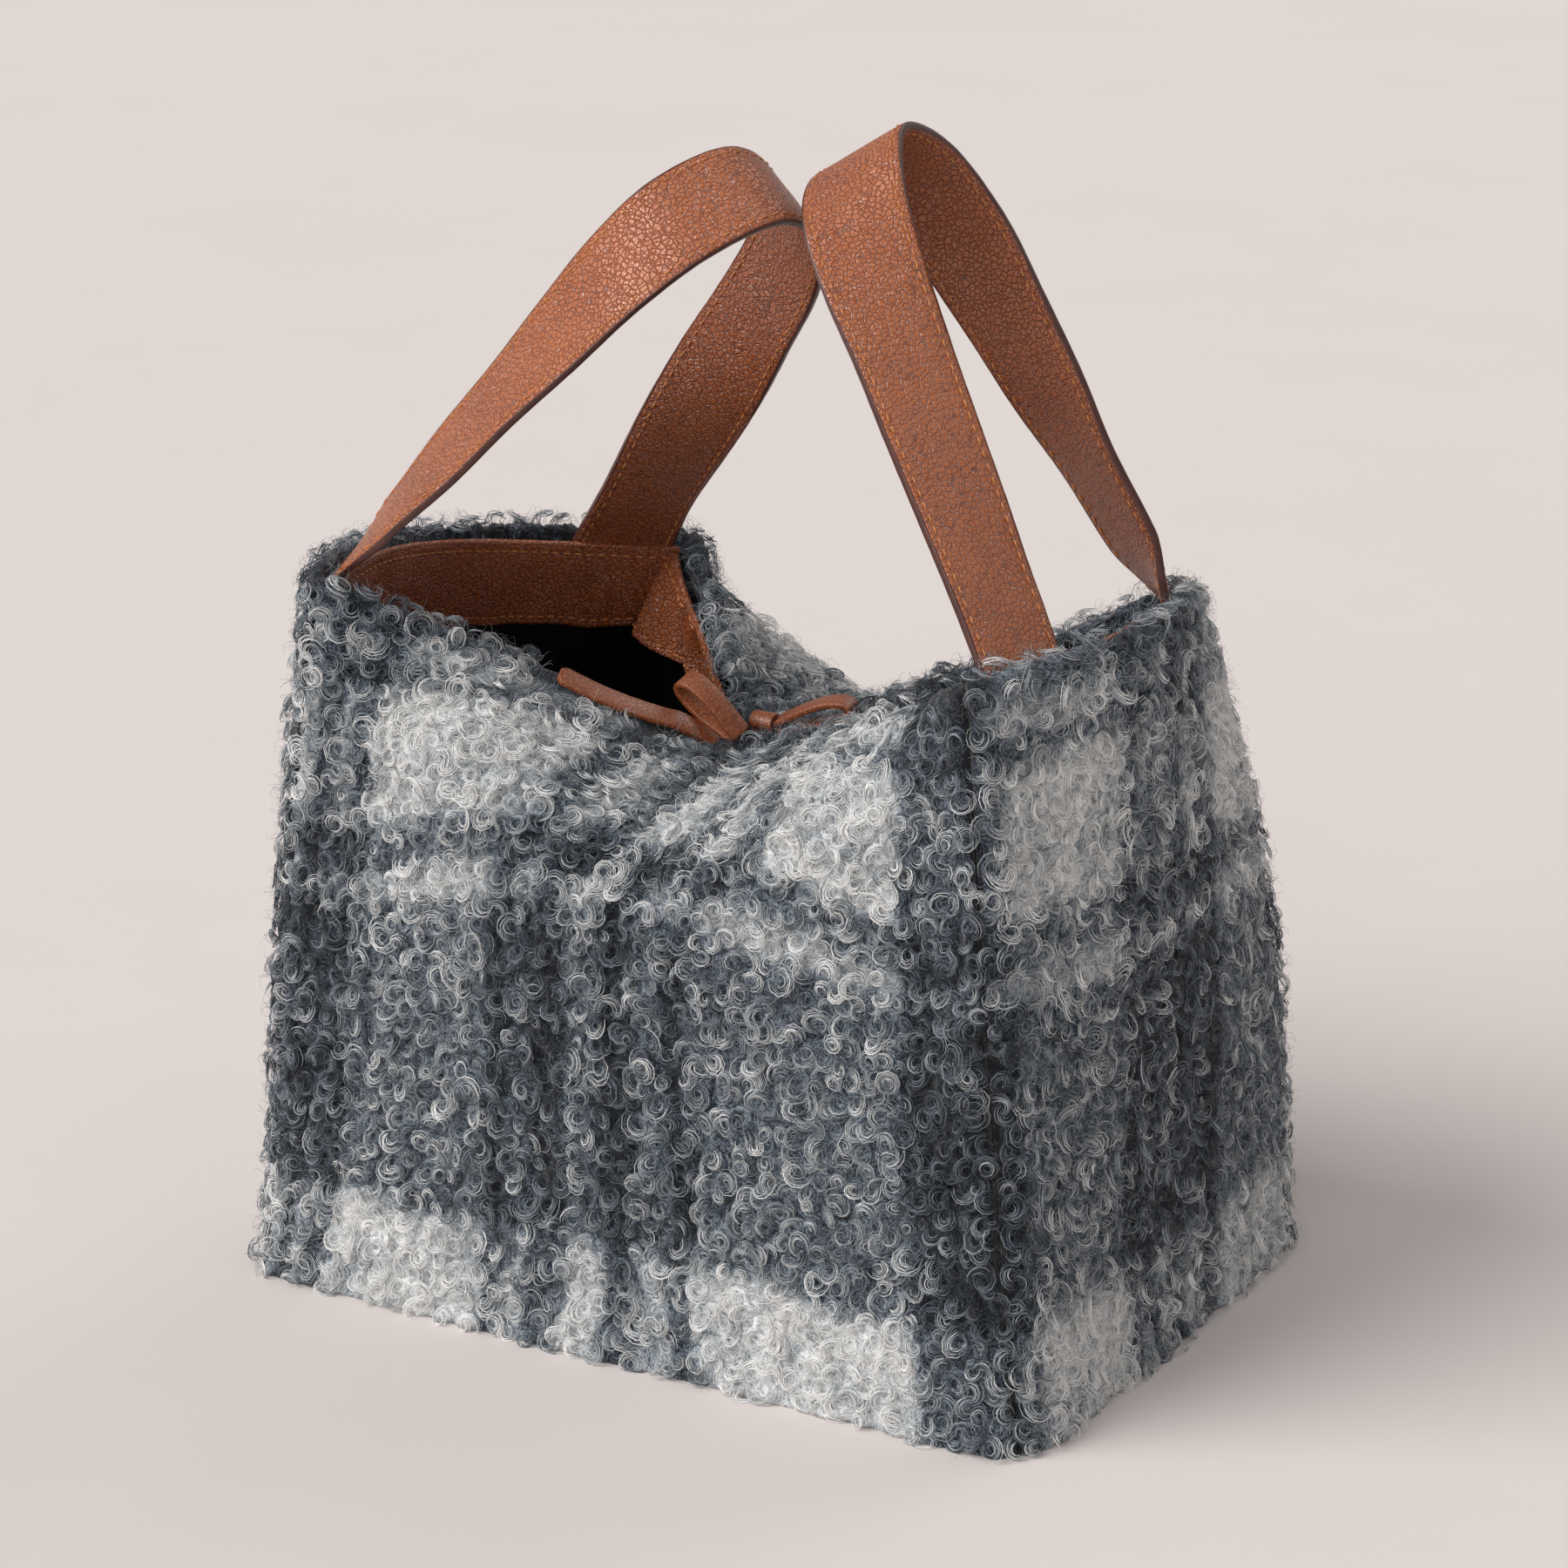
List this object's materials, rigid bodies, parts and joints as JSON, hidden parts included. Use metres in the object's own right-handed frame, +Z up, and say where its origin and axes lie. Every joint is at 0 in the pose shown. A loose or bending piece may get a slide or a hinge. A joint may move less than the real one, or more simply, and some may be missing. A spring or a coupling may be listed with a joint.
{
  "type": "knitting bag",
  "caption": "Open box tote for knitting: looped plaid wool body, leather-faced rim pinched shut by a leather bow, and leather strap handles leaning inward.",
  "frame": {"origin": "middle of the base, on the ground", "axes": "+Z up, +X to the right end, +Y to the back; the front long side faces -Y"},
  "size_m": [0.312, 0.216, 0.4018],
  "materials": {
    "wool": "looped pile, charcoal, grey and white plaid",
    "padding": "soft felt",
    "board": "plain",
    "lining": "smooth black weave",
    "facing": "pebbled, satin",
    "strap": "pebbled, satin",
    "strap_back": "pebbled, satin",
    "core": "raw",
    "tie": "smooth, satin"
  },
  "bodies": {
    "bag": {"front_wool": "wool", "right_wool": "wool", "back_wool": "wool", "left_wool": "wool", "base_wool": "wool", "front_pad": "padding", "right_pad": "padding", "back_pad": "padding", "left_pad": "padding", "base_board": "board", "front_lining": "lining", "right_lining": "lining", "back_lining": "lining", "left_lining": "lining", "base_lining": "lining", "front_facing": "facing", "right_facing": "facing", "back_facing": "facing", "left_facing": "facing", "left_front_strap_end": "strap", "left_back_strap_end": "strap", "right_front_strap_end": "strap", "right_back_strap_end": "strap", "front_tie": "tie", "back_tie": "tie", "tie_knot": "tie"},
    "left_handle": {"left_handle_outer": "strap", "left_handle_core": "core", "left_handle_inner": "strap_back"},
    "right_handle": {"right_handle_outer": "strap", "right_handle_core": "core", "right_handle_inner": "strap_back"},
    "tie_tail": {"left_tie_tail": "tie"},
    "left_bow_loop": {"left_tie_loop": "tie"},
    "right_bow_loop": {"right_tie_loop": "tie"}
  },
  "joints": [
    {"name": "left_handle_swing", "type": "hinge", "parent": "bag", "child": "left_handle", "pos_m": [-0.11094, -0.00901, 0.2411], "axis": [-0.2254, -0.9668, 0.1202], "range_deg": [0, 50]},
    {"name": "right_handle_swing", "type": "hinge", "parent": "bag", "child": "right_handle", "pos_m": [0.12257, -0.00167, 0.2443], "axis": [-0.0488, 0.9959, -0.0763], "range_deg": [0, 40]},
    {"name": "tie_tail_lift", "type": "hinge", "parent": "bag", "child": "tie_tail", "pos_m": [-0.01407, -0.01159, 0.19393], "axis": [-0.6229, 0.7823, 0], "range_deg": [0, 40]},
    {"name": "left_loop_lift", "type": "hinge", "parent": "bag", "child": "left_bow_loop", "pos_m": [-0.0115, -0.0005, 0.2005], "axis": [-0.2545, 0.9671, 0], "range_deg": [0, 30]},
    {"name": "right_loop_lift", "type": "hinge", "parent": "bag", "child": "right_bow_loop", "pos_m": [0.0035, 0, 0.1995], "axis": [0.0797, -0.9968, 0], "range_deg": [0, 30]}
  ]
}
